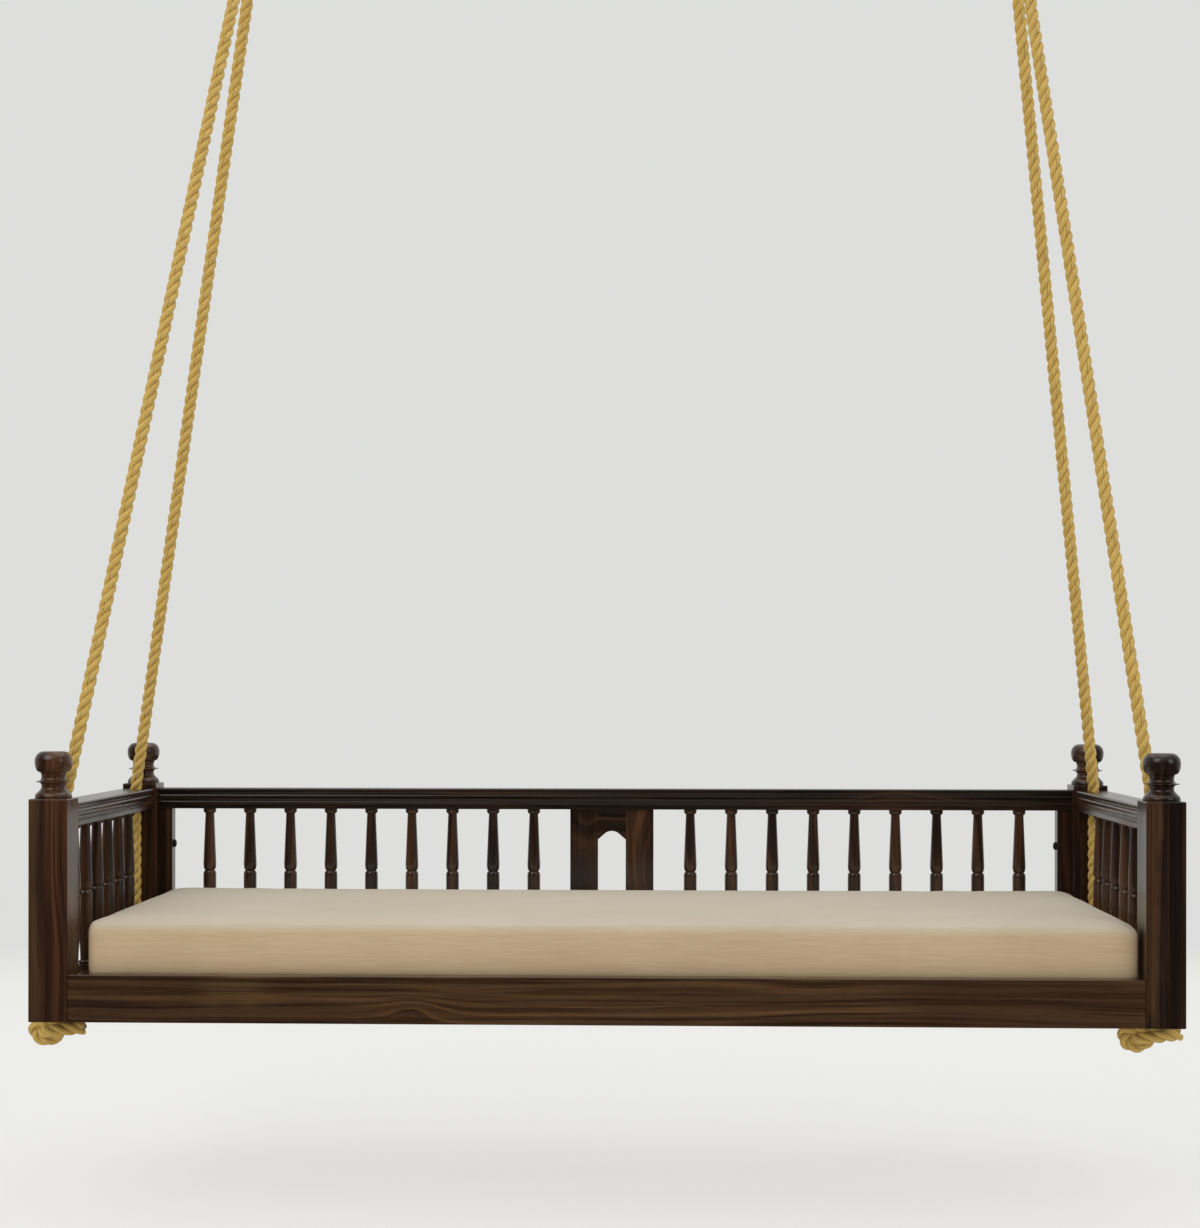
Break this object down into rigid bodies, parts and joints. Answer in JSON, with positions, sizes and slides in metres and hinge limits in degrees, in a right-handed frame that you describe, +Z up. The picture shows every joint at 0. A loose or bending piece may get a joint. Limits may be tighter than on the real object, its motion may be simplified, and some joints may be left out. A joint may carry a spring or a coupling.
{
  "type": "hanging swing bed",
  "caption": "Wooden day bed with turned spindles and a mattress, hung from the ceiling on ropes and swivelling links.",
  "frame": {"origin": "on the ceiling plane, midway between the two ceiling plates, at the middle of their bolt holes", "axes": "+Z up, +X along the bed to the right as seen from the front, +Y from the front to the back panel"},
  "size_m": [2.049, 0.694, 2.369],
  "materials": {
    "stained_wood": "satin",
    "plain_wood": "matte",
    "zinc_steel": "satin",
    "black_steel": "satin",
    "rope": "matte",
    "twine": "matte",
    "mattress_cloth": "matte"
  },
  "bodies": {
    "ceiling": {"ceiling_plate_left": "zinc_steel", "ceiling_plate_right": "zinc_steel", "swing_pins": "black_steel", "swing_pin_nuts": "black_steel"},
    "link_left": {"swing_link_left": "zinc_steel", "rope_pin_left": "black_steel", "rope_pin_nut_left": "black_steel"},
    "link_right": {"swing_link_right": "zinc_steel", "rope_pin_right": "black_steel", "rope_pin_nut_right": "black_steel"},
    "ropes_left": {"rope_front_left": "rope", "rope_back_left": "rope", "thimbles_left": "zinc_steel", "seizings_left": "twine"},
    "ropes_right": {"rope_front_right": "rope", "rope_back_right": "rope", "thimbles_right": "zinc_steel", "seizings_right": "twine"},
    "bed": {"post_front_left": "stained_wood", "post_front_right": "stained_wood", "post_back_left": "stained_wood", "post_back_right": "stained_wood", "front_rail": "stained_wood", "back_rail": "stained_wood", "side_rail_left": "stained_wood", "side_rail_right": "stained_wood", "top_rail_back": "stained_wood", "top_rail_left": "stained_wood", "top_rail_right": "stained_wood", "stile_left": "stained_wood", "stile_right": "stained_wood", "splat_board_left": "stained_wood", "splat_board_right": "stained_wood", "splat_arch_upper": "stained_wood", "splat_arch_lower": "stained_wood", "back_spindles_left": "stained_wood", "back_spindles_right": "stained_wood", "side_spindles_left": "stained_wood", "side_spindles_right": "stained_wood", "slats": "plain_wood", "bearer": "plain_wood", "cleat_front": "plain_wood", "cleat_back": "plain_wood", "stile_bolts": "black_steel", "slat_screws": "black_steel", "cleat_screws": "black_steel", "mattress": "mattress_cloth", "rope_tail_front_left": "rope", "rope_tail_back_left": "rope", "rope_tail_front_right": "rope", "rope_tail_back_right": "rope"}
  },
  "joints": [
    {"name": "swing", "type": "hinge", "parent": "ceiling", "child": "link_left", "pos_m": [-0.699, 0, -0.034], "axis": [1, 0, 0], "range_deg": [-25, 25]},
    {"name": "swing_right", "type": "hinge", "parent": "ceiling", "child": "link_right", "pos_m": [0.699, 0, -0.034], "axis": [1, 0, 0], "range_deg": [-25, 25]},
    {"name": "rope_lean_left", "type": "hinge", "parent": "link_left", "child": "ropes_left", "pos_m": [-0.699, 0, -0.094], "axis": [0, 1, 0], "range_deg": [-4.9, 4.9]},
    {"name": "sway", "type": "hinge", "parent": "ropes_left", "child": "bed", "pos_m": [-1.0065, 0, -1.926], "axis": [0, 1, 0], "range_deg": [-3.5, 3.5]},
    {"name": "rope_lean_right", "type": "hinge", "parent": "link_right", "child": "ropes_right", "pos_m": [0.699, 0, -0.094], "axis": [0, 1, 0], "range_deg": [-4.9, 4.9]}
  ],
  "couplings": [
    {"joint": "swing_right", "follows": "swing", "ratio": 1},
    {"joint": "rope_lean_left", "follows": "sway", "ratio": -1.3898},
    {"joint": "rope_lean_right", "follows": "sway", "ratio": -1.3898}
  ]
}
